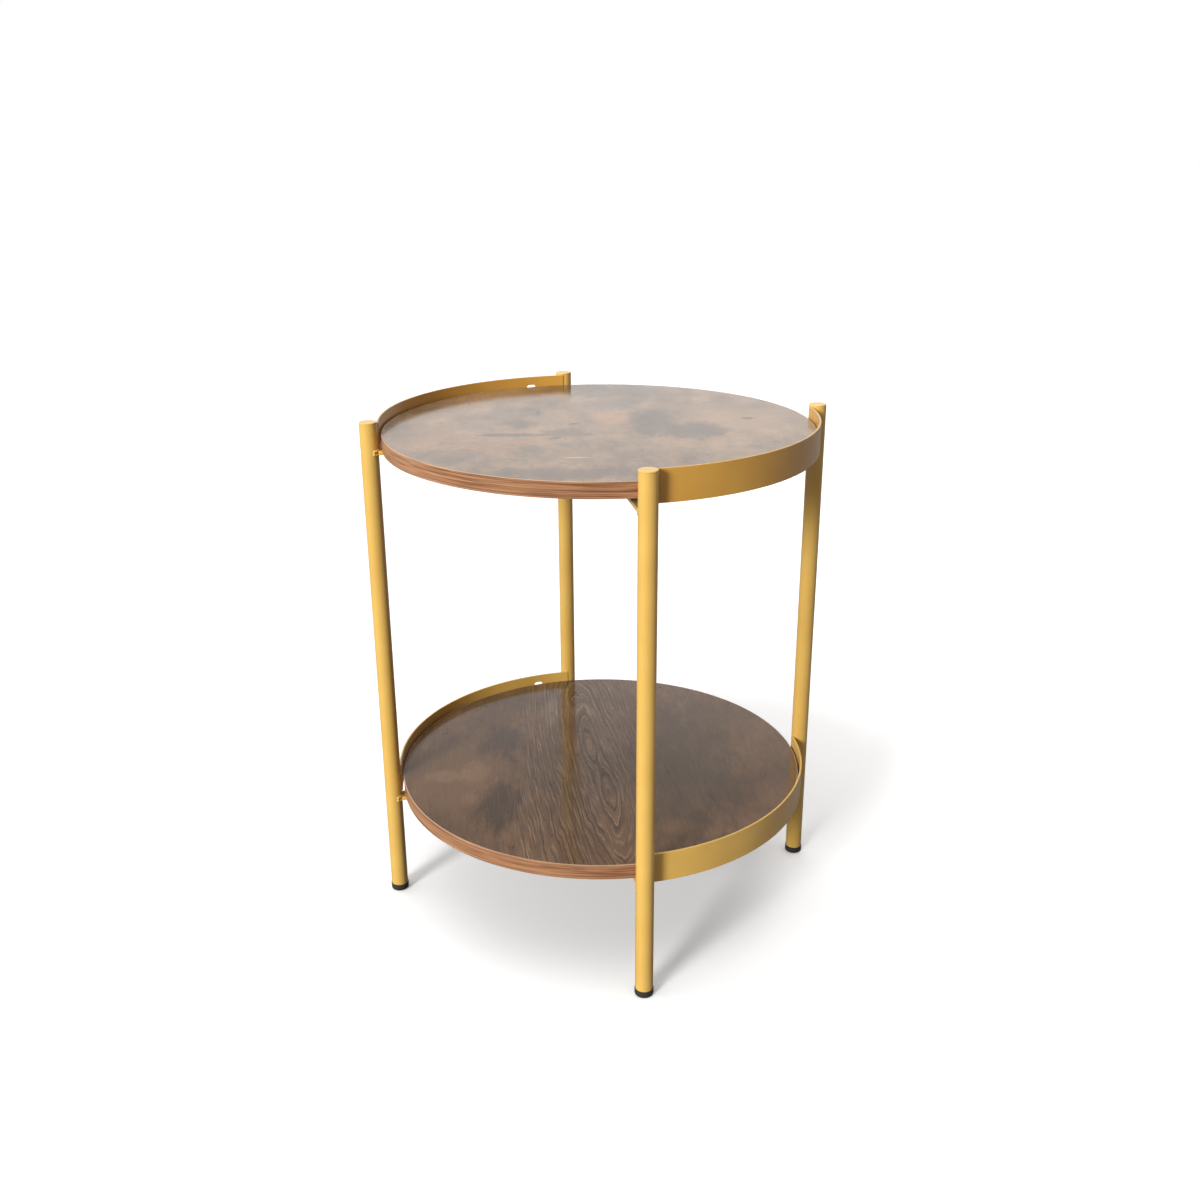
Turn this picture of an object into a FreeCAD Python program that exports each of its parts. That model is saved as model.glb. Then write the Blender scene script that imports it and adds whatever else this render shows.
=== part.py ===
"""Two-tier round side table: four tube legs, side bands, cross bars and two round boards.

Frame: origin on the floor under the middle of the boards, +Z up, the open front towards -Y.
The two legs on the left and the two on the right are each joined by a bent band at both tiers.
Under each board a carrier bar touches the board, and a tie bar crosses below it, held off by spacers.
"""

import FreeCAD, Part
import os

import Sketcher

# Driving sizes, in millimetres, or in degrees where the name says angle.
SIZES = {
    "table_height": 550.0,       # floor to the tops of the legs
    "board_diameter": 450.0,
    "board_thickness": 16.0,
    "strip_thickness": 1.0,      # edging glued round each board
    "strip_round": 0.6,          # rounded corner of the edging
    "shelf_height": 145.5,       # floor to the upper face of the lower board
    "leg_diameter": 18.4,
    "leg_wall": 1.2,
    "leg_half_angle": 44.4,      # from the side's middle to each of its two legs
    "leg_rise": 2.0,             # leg top above the upper edge of the band
    "leg_set_in": 0.8,           # how deep the ends of a band are let against the leg's round
    "cap_head": 2.0,
    "cap_round": 0.8,
    "cap_spigot": 8.0,
    "plug_play": 0.1,            # radial play of caps and glides in the tube
    "foot_diameter": 19.6,
    "foot_head": 7.8,
    "foot_bevel": 2.0,
    "foot_stem": 14.0,
    "band_height": 32.0,
    "band_thickness": 2.0,
    "band_gap": 2.0,             # board edge to the inner face of the band
    "band_lip": 11.5,            # band above the board's upper face
    "band_end_gap": 2.0,         # square-cut end of the band to the middle of the leg
    "slot_length": 11.0,         # hanging slot in the band, near the back leg
    "slot_height": 6.0,
    "slot_rise": 2.6,            # top of the slot above the board's upper face
    "slot_offset": 42.0,         # middle of the slot to the middle of the back leg
    "bar_width": 16.0,
    "bar_thickness": 4.0,
    "bar_gap": 4.0,              # between the crossing bars
    "screw_orbit": 130.0,        # screws from the middle of the board
    "screw_diameter": 4.0,
    "screw_grip": 11.0,          # length of screw inside the board
    "screw_head": 8.5,
    "screw_head_height": 2.4,
    "screw_play": 0.25,          # radial play of the screw in bars and spacers
    "recess_length": 4.4,        # cross recess in the screw head
    "recess_width": 1.0,
    "recess_depth": 1.4,
    "spacer_diameter": 13.0,
    "overrun": 1.0,              # how far a cutting shape runs past what it cuts
}

doc = FreeCAD.newDocument("side_table")
sheet = doc.addObject("Spreadsheet::Sheet", "sizes")
for row, (alias, size) in enumerate(SIZES.items(), start=1):
    sheet.set(f"A{row}", alias)
    sheet.set(f"B{row}", str(size))
    sheet.setAlias(f"B{row}", alias)
doc.recompute()

# Lengths that follow from the driving sizes, as expressions on the sheet.
BOARD_RADIUS = "sizes.board_diameter / 2"
CORE_RADIUS = f"({BOARD_RADIUS} - sizes.strip_thickness)"
LEG_RADIUS = "sizes.leg_diameter / 2"
BORE_RADIUS = f"({LEG_RADIUS} - sizes.leg_wall)"
PLUG_RADIUS = f"({BORE_RADIUS} - sizes.plug_play)"
BAND_INNER = f"({BOARD_RADIUS} + sizes.band_gap)"
BAND_OUTER = f"({BAND_INNER} + sizes.band_thickness)"
LEG_ORBIT = f"({BAND_OUTER} + {LEG_RADIUS} - sizes.leg_set_in)"
TOP_FACE = "(sizes.table_height - sizes.leg_rise - sizes.band_lip)"
SHELF_FACE = "sizes.shelf_height"
SCREW_HOLE = "(sizes.screw_diameter / 2 + sizes.screw_play)"
SCREW_ORBITS = ("sizes.screw_orbit", "(-sizes.screw_orbit)")
BAR_LENGTH = f"(2 * sqrt({BAND_OUTER}^2 - (sizes.bar_width / 2)^2))"
SPACER_HEIGHT = "(sizes.bar_thickness + sizes.bar_gap)"
THROUGH_BAR = "sizes.bar_thickness + 2 * sizes.overrun"
THROUGH_BAND = "sizes.band_height + 2 * sizes.overrun"
END_ANGLE = f"(asin(sizes.band_end_gap / {BAND_INNER}) / 1 deg)"
SLOT_ANGLE = f"(sizes.slot_offset / {BAND_OUTER} * 180 / pi)"

# Legs by name, each with its direction from the middle of the table.
LEG_ANGLES = {
    "back_right": "sizes.leg_half_angle",
    "back_left": "(180 - sizes.leg_half_angle)",
    "front_left": "(180 + sizes.leg_half_angle)",
    "front_right": "(360 - sizes.leg_half_angle)",
}
RISING_DIAGONAL = LEG_ANGLES["back_right"]
FALLING_DIAGONAL = LEG_ANGLES["back_left"]

# Tiers: upper face of the board, and the directions of its carrier and tie bars.
TIERS = {
    "upper": (TOP_FACE, RISING_DIAGONAL, FALLING_DIAGONAL),
    "lower": (SHELF_FACE, FALLING_DIAGONAL, RISING_DIAGONAL),
}
SIDES = ("right", "left")

nodes = []


def value(expression):
    """Number that an expression on the sheet has now."""
    return float(sheet.evalExpression(expression))


def bind(thing, **expressions):
    """Tie properties of an object to expressions; double underscores stand for dots."""
    for name, expression in expressions.items():
        thing.setExpression(name.replace("__", "."), expression)
    return thing


def place(thing, radius="0", angle="0", height="0"):
    """Tie an object's place to a height, and to a distance in a direction that it is turned to."""
    return bind(
        thing,
        Placement__Base__x=f"{radius} * cos({angle})",
        Placement__Base__y=f"{radius} * sin({angle})",
        Placement__Base__z=height,
        Placement__Rotation__Angle=angle,
    )


def primitive(kind, name, **expressions):
    """Part primitive of that kind with its sizes tied to expressions."""
    return bind(doc.addObject(f"Part::{kind}", name), **expressions)


def fused(name, shapes):
    """Union of several shapes."""
    union = doc.addObject("Part::MultiFuse", name)
    union.Shapes = shapes
    return union


def cut(name, base, tool):
    """One shape less another."""
    less = doc.addObject("Part::Cut", name)
    less.Base = base
    less.Tool = tool
    return less


def node(thing, label):
    """Name a finished sub-part, to be written to its own file."""
    thing.Label = label
    nodes.append(thing)
    return thing


def new_body(label):
    """Empty body whose label will name its file."""
    return node(doc.addObject("PartDesign::Body", label + "_body"), label)


def new_sketch(body, role):
    """Sketch on one of the body's own origin planes."""
    sketch = body.newObject("Sketcher::SketchObject", "profile")
    plane = next(f for f in body.Origin.OriginFeatures if f.Role == role)
    sketch.AttachmentSupport = [(plane, "")]
    sketch.MapMode = "FlatFace"
    return sketch


def add_circle(sketch, radius, x="0", y="0"):
    """Circle in a sketch, its radius and centre tied to expressions."""
    centre = FreeCAD.Vector(value(x), value(y), 0)
    circle = sketch.addGeometry(Part.Circle(centre, FreeCAD.Vector(0, 0, 1), value(radius)))
    for kind, expression in (("DistanceX", x), ("DistanceY", y)):
        index = sketch.addConstraint(Sketcher.Constraint(kind, -1, 1, circle, 3, value(expression)))
        sketch.setExpression(f"Constraints[{index}]", expression)
    index = sketch.addConstraint(Sketcher.Constraint("Radius", circle, value(radius)))
    sketch.setExpression(f"Constraints[{index}]", radius)


def add_outline(sketch, corners):
    """Closed outline of straight lines; each corner is a pair of expressions."""
    points = [FreeCAD.Vector(value(x), value(y), 0) for x, y in corners]
    count = len(points)
    lines = [sketch.addGeometry(Part.LineSegment(points[i], points[(i + 1) % count])) for i in range(count)]
    for i, (x, y) in enumerate(corners):
        sketch.addConstraint(Sketcher.Constraint("Coincident", lines[i - 1], 2, lines[i], 1))
        for kind, expression in (("DistanceX", x), ("DistanceY", y)):
            index = sketch.addConstraint(Sketcher.Constraint(kind, -1, 1, lines[i], 1, value(expression)))
            sketch.setExpression(f"Constraints[{index}]", expression)


def pad(body, sketch, length):
    """Pad of a sketch by a tied length."""
    feature = body.newObject("PartDesign::Pad", "pad")
    feature.Profile = sketch
    return bind(feature, Length=length)


def revolve(body, corners):
    """Solid of revolution about Z of a half outline of (radius, height) corners."""
    sketch = new_sketch(body, "XZ_Plane")
    add_outline(sketch, corners)
    feature = body.newObject("PartDesign::Revolution", "turned")
    feature.Profile = sketch
    feature.ReferenceAxis = (sketch, ["V_Axis"])
    feature.Angle = 360
    return feature


def round_rims(body, base, heights, radius, size):
    """Fillet of the circular edges of a turned feature that lie at the given heights and radius."""
    doc.recompute()
    levels = [value(height) for height in heights]
    tolerance = value(size) / 2
    edges = []
    for index, edge in enumerate(base.Shape.Edges, start=1):
        if not isinstance(edge.Curve, Part.Circle):
            continue
        at_level = any(abs(edge.CenterOfMass.z - level) < tolerance for level in levels)
        if at_level and abs(edge.Curve.Radius - value(radius)) < tolerance:
            edges.append(f"Edge{index}")
    feature = body.newObject("PartDesign::Fillet", "rounding")
    feature.Base = (base, edges)
    return bind(feature, Radius=size)


def make_leg(name, angle):
    """Round tube, with a cap pressed into its top and a glide into its foot."""
    tube = new_body(f"{name}_leg")
    place(tube, LEG_ORBIT, angle, "sizes.foot_head")
    section = new_sketch(tube, "XY_Plane")
    add_circle(section, LEG_RADIUS)
    add_circle(section, BORE_RADIUS)
    pad(tube, section, "sizes.table_height - sizes.cap_head - sizes.foot_head")

    cap = new_body(f"{name}_leg_cap")
    place(cap, LEG_ORBIT, angle, "sizes.table_height")
    spigot_end = "(-sizes.cap_head - sizes.cap_spigot)"
    head = revolve(cap, [
        ("0", "0"), (LEG_RADIUS, "0"), (LEG_RADIUS, "-sizes.cap_head"),
        (PLUG_RADIUS, "-sizes.cap_head"), (PLUG_RADIUS, spigot_end), ("0", spigot_end),
    ])
    round_rims(cap, head, ["0"], LEG_RADIUS, "sizes.cap_round")

    glide = new_body(f"{name}_foot_glide")
    place(glide, LEG_ORBIT, angle)
    foot_radius = "sizes.foot_diameter / 2"
    stem_end = "(sizes.foot_head + sizes.foot_stem)"
    revolve(glide, [
        ("0", "0"), (f"({foot_radius} - sizes.foot_bevel)", "0"), (foot_radius, "sizes.foot_bevel"),
        (foot_radius, "sizes.foot_head"), (PLUG_RADIUS, "sizes.foot_head"), (PLUG_RADIUS, stem_end),
        ("0", stem_end),
    ])


def make_board(tier, face, diagonals):
    """Round core board with blind screw holes from below, and the edging round it."""
    label = {"upper": "top_board", "lower": "lower_shelf"}[tier]
    core = new_body(label)
    place(core, height=f"({face} - sizes.board_thickness)")
    outline = new_sketch(core, "XY_Plane")
    add_circle(outline, CORE_RADIUS)
    pad(core, outline, "sizes.board_thickness")
    holes = new_sketch(core, "XY_Plane")
    for diagonal in diagonals:
        for orbit in SCREW_ORBITS:
            x, y = f"{orbit} * cos({diagonal})", f"{orbit} * sin({diagonal})"
            add_circle(holes, "sizes.screw_diameter / 2", x, y)
    drilled = core.newObject("PartDesign::Pocket", "screw_holes")
    drilled.Profile = holes
    drilled.Reversed = True
    bind(drilled, Length="sizes.screw_grip")

    strip = new_body(f"{label}_edge_strip")
    place(strip, height=f"({face} - sizes.board_thickness)")
    ring = revolve(strip, [
        (CORE_RADIUS, "0"), (BOARD_RADIUS, "0"),
        (BOARD_RADIUS, "sizes.board_thickness"), (CORE_RADIUS, "sizes.board_thickness"),
    ])
    round_rims(strip, ring, ["0", "sizes.board_thickness"], BOARD_RADIUS, "sizes.strip_round")


def leg_cutters(name, angles, bottom, height):
    """Cylinders where the legs stand, to cope the ends of a bar or band against them."""
    cutters = []
    for angle in angles:
        cutter = primitive("Cylinder", f"{name}_cope", Radius=LEG_RADIUS, Height=height)
        cutters.append(place(cutter, LEG_ORBIT, angle, f"{bottom} - sizes.overrun"))
    return cutters


def slot_cutter(name, angle, face):
    """Round-ended slot through the band, lying along it."""
    depth = "(sizes.band_thickness + 2 * sizes.overrun)"
    start = f"({BAND_INNER} - sizes.overrun)"
    straight = "(sizes.slot_length - sizes.slot_height)"
    middle = f"({face} + sizes.slot_rise - sizes.slot_height / 2)"
    block = primitive("Box", f"{name}_slot", Length=depth, Width=straight, Height="sizes.slot_height")
    place(block, start, angle, f"{middle} - sizes.slot_height / 2")
    bind(
        block,
        Placement__Base__x=f"{start} * cos({angle}) + {straight} / 2 * sin({angle})",
        Placement__Base__y=f"{start} * sin({angle}) - {straight} / 2 * cos({angle})",
    )
    ends = []
    for side in ("1", "-1"):
        end = primitive("Cylinder", f"{name}_slot_end", Radius="sizes.slot_height / 2", Height=depth)
        across = f"{side} * {straight} / 2"
        bind(
            end,
            Placement__Base__x=f"{start} * cos({angle}) - {across} * sin({angle})",
            Placement__Base__y=f"{start} * sin({angle}) + {across} * cos({angle})",
            Placement__Base__z=middle,
            Placement__Rotation__Axis__x=f"-sin({angle})",
            Placement__Rotation__Axis__y=f"cos({angle})",
            Placement__Rotation__Axis__z="0",
            Placement__Rotation__Angle="90",
        )
        ends.append(end)
    return [block, *ends]


def make_band(tier, side, face):
    """Bent flat strip from the front leg to the back leg of one side, standing up past the board."""
    label = f"{tier}_{side}_band"
    bottom = f"({face} + sizes.band_lip - sizes.band_height)"
    first, last = {"right": ("front_right", "back_right"), "left": ("back_left", "front_left")}[side]
    begin = f"({LEG_ANGLES[first]} + {END_ANGLE})"
    sweep = f"(2 * sizes.leg_half_angle - 2 * {END_ANGLE})"
    outer = primitive(
        "Cylinder", f"{label}_outer", Radius=BAND_OUTER, Height="sizes.band_height", Angle=sweep
    )
    place(outer, angle=begin, height=bottom)
    inner = primitive("Cylinder", f"{label}_inner", Radius=BAND_INNER, Height=THROUGH_BAND)
    place(inner, height=f"{bottom} - sizes.overrun")
    back_leg = LEG_ANGLES[f"back_{side}"]
    turn = {"right": "-", "left": "+"}[side]
    cutters = leg_cutters(label, [LEG_ANGLES[first], LEG_ANGLES[last]], bottom, THROUGH_BAND)
    cutters += slot_cutter(label, f"({back_leg} {turn} {SLOT_ANGLE})", face)
    return node(cut(f"{label}_cut", outer, fused(f"{label}_cutters", [inner, *cutters])), label)


def make_bar(label, angle, bottom, bands):
    """Flat bar across the table from leg to leg, coped round legs and bands, with two screw holes."""
    stock = primitive(
        "Box", f"{label}_stock",
        Length=BAR_LENGTH, Width="sizes.bar_width", Height="sizes.bar_thickness",
    )
    place(stock, angle=angle, height=bottom)
    bind(
        stock,
        Placement__Base__x=f"-{BAR_LENGTH} / 2 * cos({angle}) + sizes.bar_width / 2 * sin({angle})",
        Placement__Base__y=f"-{BAR_LENGTH} / 2 * sin({angle}) - sizes.bar_width / 2 * cos({angle})",
    )
    cutters = leg_cutters(label, [angle, f"({angle} + 180)"], bottom, THROUGH_BAR)
    for orbit in SCREW_ORBITS:
        hole = primitive("Cylinder", f"{label}_hole", Radius=SCREW_HOLE, Height=THROUGH_BAR)
        cutters.append(place(hole, orbit, angle, f"{bottom} - sizes.overrun"))
    node(cut(f"{label}_cut", stock, fused(f"{label}_cutters", [*cutters, *bands])), label)


def make_screws(label, angle, seat, through):
    """Two pan-head screws, heads up against a bar's lower face, with cross recesses."""
    solids = []
    for orbit in SCREW_ORBITS:
        shank = primitive(
            "Cylinder", f"{label}_shank",
            Radius="sizes.screw_diameter / 2", Height=f"{through} + sizes.screw_grip",
        )
        place(shank, orbit, angle, seat)
        head = primitive(
            "Cylinder", f"{label}_head", Radius="sizes.screw_head / 2", Height="sizes.screw_head_height"
        )
        head_bottom = f"({seat} - sizes.screw_head_height)"
        place(head, orbit, angle, head_bottom)
        recess = []
        for length, width in (("recess_length", "recess_width"), ("recess_width", "recess_length")):
            arm = primitive(
                "Box", f"{label}_recess", Length=f"sizes.{length}", Width=f"sizes.{width}",
                Height="sizes.recess_depth + sizes.overrun",
            )
            bind(
                arm,
                Placement__Base__x=f"{orbit} * cos({angle}) - sizes.{length} / 2",
                Placement__Base__y=f"{orbit} * sin({angle}) - sizes.{width} / 2",
                Placement__Base__z=f"{head_bottom} - sizes.overrun",
            )
            recess.append(arm)
        whole = fused(f"{label}_whole", [shank, head])
        solids.append(cut(f"{label}_cut", whole, fused(f"{label}_cross", recess)))
    pair = doc.addObject("Part::Compound", f"{label}_pair")
    pair.Links = solids
    node(pair, label)


def make_spacers(label, angle, bottom):
    """Two plain sleeves that fill the gap between the tie bar and the board at its screws."""
    sleeves = []
    for orbit in SCREW_ORBITS:
        outside = primitive(
            "Cylinder", f"{label}_outside", Radius="sizes.spacer_diameter / 2", Height=SPACER_HEIGHT
        )
        place(outside, orbit, angle, bottom)
        bore = primitive(
            "Cylinder", f"{label}_bore", Radius=SCREW_HOLE, Height=f"{SPACER_HEIGHT} + 2 * sizes.overrun"
        )
        place(bore, orbit, angle, f"{bottom} - sizes.overrun")
        sleeves.append(cut(f"{label}_cut", outside, bore))
    pair = doc.addObject("Part::Compound", f"{label}_pair")
    pair.Links = sleeves
    node(pair, label)


def make_tier(tier, face, carrier, tie):
    """One tier: the board, its two bands, its two bars and what fastens the board to the bars."""
    make_board(tier, face, [carrier, tie])
    bands = [make_band(tier, side, face) for side in SIDES]
    carrier_bottom = f"({face} - sizes.board_thickness - sizes.bar_thickness)"
    tie_top = f"({carrier_bottom} - sizes.bar_gap)"
    tie_bottom = f"({tie_top} - sizes.bar_thickness)"
    make_bar(f"{tier}_carrier_bar", carrier, carrier_bottom, bands)
    make_bar(f"{tier}_tie_bar", tie, tie_bottom, bands)
    make_screws(f"{tier}_carrier_screws", carrier, carrier_bottom, "sizes.bar_thickness")
    make_screws(f"{tier}_tie_screws", tie, tie_bottom, f"sizes.bar_thickness + {SPACER_HEIGHT}")
    make_spacers(f"{tier}_tie_spacers", tie, tie_top)


def check_and_write():
    """Stop if anything failed to build, then write every sub-part to its own file."""
    doc.recompute()
    for thing in doc.Objects:
        failed = [state for state in thing.State if state in ("Invalid", "Error")]
        if failed:
            raise RuntimeError(f"{thing.Label} failed: {failed}")
    for thing in nodes:
        if thing.Shape.isNull() or not thing.Shape.isValid() or thing.Shape.Volume <= 0:
            raise RuntimeError(f"{thing.Label} has no sound shape")
    os.makedirs("parts", exist_ok=True)
    for thing in nodes:
        thing.Shape.exportStep(os.path.join("parts", f"{thing.Label}.step"))
        print(f"{thing.Label}: {len(thing.Shape.Solids)} solids, {thing.Shape.Volume:.1f} mm3")


for leg_name, leg_angle in LEG_ANGLES.items():
    make_leg(leg_name, leg_angle)
for tier_name, tier_values in TIERS.items():
    make_tier(tier_name, *tier_values)
check_and_write()
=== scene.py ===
"""Looks of a two-tier round side table: gold tube frame, curved rims and wood-look boards.

Everything is in metres, in the part's own frame: origin on the floor under the boards, +Z up.
"""

import logging
from collections.abc import Callable
from dataclasses import dataclass
from enum import Enum
from functools import partial
from typing import Any

import bmesh
import bpy
import numpy as np
from bpy.types import Material, Mesh, Node, NodeSocket, NodeTree
from mathutils import Matrix, Vector


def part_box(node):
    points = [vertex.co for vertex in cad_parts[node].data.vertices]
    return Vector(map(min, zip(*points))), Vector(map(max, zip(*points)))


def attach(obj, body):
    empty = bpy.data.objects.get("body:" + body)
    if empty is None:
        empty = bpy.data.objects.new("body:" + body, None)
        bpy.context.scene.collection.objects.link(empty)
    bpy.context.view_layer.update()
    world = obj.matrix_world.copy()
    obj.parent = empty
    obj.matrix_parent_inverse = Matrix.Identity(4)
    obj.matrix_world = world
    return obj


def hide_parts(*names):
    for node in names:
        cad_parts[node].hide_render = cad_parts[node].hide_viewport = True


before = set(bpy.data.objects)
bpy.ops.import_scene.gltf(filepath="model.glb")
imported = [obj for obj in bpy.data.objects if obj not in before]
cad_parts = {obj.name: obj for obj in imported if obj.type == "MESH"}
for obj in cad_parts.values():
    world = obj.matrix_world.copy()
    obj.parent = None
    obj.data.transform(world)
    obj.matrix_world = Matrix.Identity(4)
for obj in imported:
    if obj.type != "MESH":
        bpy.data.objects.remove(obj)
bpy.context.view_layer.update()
BODY = "root"
MM = 0.001
PER_MM = 1000.0
TURN = 2 * np.pi
UP = np.array((0.0, 0.0, 1.0))
SHARP = np.radians(38)
MERGE = 1e-6
CORNER_STEPS = 6
WHITE = "#FFFFFF"
FROM = ("From Min", "From Max")
TO = ("To Min", "To Max")
# Half size, in millimetres, that leaves the height out of a distance.
FLAT = 1e5
# Darkness across one growth ring: a dark late edge, then a fade to the pale early wood.
RING_STOPS = {0.0: "#E8E8E8", 0.14: "#B0B0B0", 0.42: "#383838", 0.86: "#000000", 1.0: "#E8E8E8"}

Pair = tuple[float, float]
Triple = tuple[float, float, float]
Inputs = dict[str | int | tuple[str, str], Any]
AddNode = Callable[..., Node]
log = logging.getLogger("side_table")


class Slot(Enum):
    """Names of the material slots in the part's record."""

    FRAME = "gold_frame"
    FOOT = "foot_plastic"
    FACE = "board_face"
    EDGE = "board_edge"


class Corner(Enum):
    """The four legs, by the corner that they stand at."""

    BACK_RIGHT = "back_right"
    BACK_LEFT = "back_left"
    FRONT_LEFT = "front_left"
    FRONT_RIGHT = "front_right"


class Tier(Enum):
    """The two tiers, with the node name of each one's board."""

    UPPER = "top_board"
    LOWER = "lower_shelf"

    @property
    def word(self) -> str:
        """Word that starts the names of the tier's metal parts."""
        return self.name.lower()


class Side(Enum):
    """The two sides that carry a band, with the legs at its first and last end, anticlockwise."""

    RIGHT = (Corner.FRONT_RIGHT, Corner.BACK_RIGHT)
    LEFT = (Corner.BACK_LEFT, Corner.FRONT_LEFT)


class Role(Enum):
    """The two crossing bars of a tier: the carrier touches the board, the tie lies below it."""

    CARRIER = "carrier"
    TIE = "tie"


# Numbers worked out from the frame.


def node_box(node: str) -> tuple[np.ndarray, np.ndarray]:
    """Lowest and highest corner of a CAD node, as arrays."""
    low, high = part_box(node)
    return np.array(low, dtype=float), np.array(high, dtype=float)


def node_radius(node: str) -> float:
    """Radius of a CAD node that is round about an upright axis."""
    low, high = node_box(node)
    return (high[0] - low[0]) / 2


def leg_centre(corner: Corner) -> np.ndarray:
    """Middle of a leg, seen from above, as x and y."""
    low, high = node_box(f"{corner.value}_leg")
    return (low[:2] + high[:2]) / 2


def leg_angle(corner: Corner) -> float:
    """Direction of a leg from the middle of the table, in radians."""
    x, y = leg_centre(corner)
    return float(np.arctan2(y, x))


# Outlines and surfaces.


def arc(centre: Pair, radius: float, first: float, last: float, steps: int) -> np.ndarray:
    """Points on a circle: centre plus radius times the cosine and sine of evenly spaced angles.

    Args:
        centre: middle of the circle.
        radius: its radius.
        first: angle of the first point, in degrees.
        last: angle of the last point, in degrees.
        steps: number of points.

    Returns:
        Points, one per row.
    """
    angles = np.radians(np.linspace(first, last, steps))
    return np.array(centre) + radius * np.column_stack((np.cos(angles), np.sin(angles)))


def rounded_rectangle(width: float, height: float, radius: float) -> np.ndarray:
    """Closed outline of a rectangle with round corners, anticlockwise about zero.

    Each corner is a quarter circle. A guard point lies one radius before and after it on the straight
    sides, so that the smooth shading of the round stays off the flat.

    Args:
        width: size along the first direction.
        height: size along the second direction.
        radius: radius of the corners.

    Returns:
        Points, one per row.
    """
    starts = np.array((0.0, 90.0, 180.0, 270.0))
    signs = np.array(((1, 1), (-1, 1), (-1, -1), (1, -1)))
    centres = signs * (np.array((width, height)) / 2 - radius)
    angles = np.radians(starts[:, None] + np.linspace(0.0, 90.0, CORNER_STEPS)[None, :])
    rounds = centres[:, None] + radius * np.stack((np.cos(angles), np.sin(angles)), axis=-1)
    ahead = np.stack((-np.sin(angles), np.cos(angles)), axis=-1) * radius
    corners = np.concatenate((rounds[:, :1] - ahead[:, :1], rounds, rounds[:, -1:] + ahead[:, -1:]), axis=1)
    return corners.reshape(-1, 2)


def split_runs(outline: np.ndarray, longest: float) -> np.ndarray:
    """Same closed outline with its long straight runs cut into equal lengths.

    Args:
        outline: points, one per row.
        longest: greatest length of a run afterwards.

    Returns:
        Points, one per row.
    """
    runs = np.roll(outline, -1, axis=0) - outline
    counts = np.maximum(1, np.ceil(np.linalg.norm(runs, axis=1) / longest)).astype(int)
    place = np.arange(counts.sum()) - np.repeat(np.cumsum(counts) - counts, counts)
    shares = place / np.repeat(counts, counts)
    return np.repeat(outline, counts, axis=0) + np.repeat(runs, counts, axis=0) * shares[:, None]


def turned(outline: np.ndarray, centre: np.ndarray, segments: int) -> np.ndarray:
    """Surface of revolution about an upright axis.

    A point at radius r and height z goes to centre plus r times (cos a, sin a), at height z, for evenly
    spaced angles a. The first angle points to the back, so that the seam lies there.

    Args:
        outline: radius and height of each profile point.
        centre: x and y of the axis.
        segments: number of angles.

    Returns:
        Grid of points: profile by angle by xyz.
    """
    angles = np.pi / 2 + np.arange(segments) * TURN / segments
    around = np.column_stack((np.cos(angles), np.sin(angles)))
    grid = np.empty((len(outline), segments, 3))
    grid[..., :2] = centre + outline[:, None, :1] * around[None, :, :]
    grid[..., 2] = outline[:, None, 1]
    return grid


def carried(outline: np.ndarray, path: np.ndarray, side: np.ndarray, up: np.ndarray) -> np.ndarray:
    """Profile carried along a path.

    Each profile point (a, b) goes to the path's point plus a times side plus b times up there.

    Args:
        outline: closed profile, two numbers to a row, or one such profile for each path point.
        path: points of the path.
        side: first direction of the profile, for the whole path or at each point.
        up: second direction of the profile, for the whole path or at each point.

    Returns:
        Grid of points: path by profile by xyz.
    """
    profiles = np.broadcast_to(outline, (len(path), *outline.shape[-2:]))
    side, up = (np.broadcast_to(way, path.shape)[:, None] for way in (side, up))
    return path[:, None] + profiles[..., :1] * side + profiles[..., 1:] * up


def surface_mesh(name: str, grid: np.ndarray, wrap_rows: bool = False, ends: bool = False) -> Mesh:
    """Closed mesh of a grid of points, with doubles merged and faces turned outwards.

    Args:
        name: name of the mesh.
        grid: points by row and column; columns always close.
        wrap_rows: whether the last row joins the first.
        ends: whether the first and last row are closed by a flat face.

    Returns:
        The mesh, shaded smooth except at sharp edges.
    """
    rows, columns = grid.shape[:2]
    row, column = np.meshgrid(np.arange(rows if wrap_rows else rows - 1), np.arange(columns), indexing="ij")
    corner_rows = np.stack((row, row, row + 1, row + 1), axis=-1).reshape(-1, 4) % rows
    corner_columns = np.stack((column, column + 1, column + 1, column), axis=-1).reshape(-1, 4) % columns
    faces = (corner_rows * columns + corner_columns).tolist()
    if ends:
        faces.append(list(range(columns)))
        faces.append(list(range((rows - 1) * columns, rows * columns)))
    mesh = bpy.data.meshes.new(name)
    mesh.from_pydata(grid.reshape(-1, 3), [], faces)
    tidy_mesh(mesh)
    return mesh


def tidy_mesh(mesh: Mesh) -> None:
    """Merge doubles, turn faces outwards and shade smooth up to the sharp edges.

    Args:
        mesh: the mesh, changed in place.
    """
    shape = bmesh.new()
    shape.from_mesh(mesh)
    bmesh.ops.remove_doubles(shape, verts=shape.verts, dist=MERGE)
    bmesh.ops.recalc_face_normals(shape, faces=shape.faces)
    shape.to_mesh(mesh)
    shape.free()
    mesh.polygons.foreach_set("use_smooth", np.ones(len(mesh.polygons), dtype=bool))
    mesh.set_sharp_from_angle(angle=SHARP)


def joined(name: str, meshes: list[Mesh]) -> Mesh:
    """One mesh of several, which stay separate shells.

    Args:
        name: name of the whole.
        meshes: the shells.

    Returns:
        The whole.
    """
    whole = bmesh.new()
    for mesh in meshes:
        whole.from_mesh(mesh)
    result = bpy.data.meshes.new(name)
    whole.to_mesh(result)
    whole.free()
    result.set_sharp_from_angle(angle=SHARP)
    return result


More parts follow.
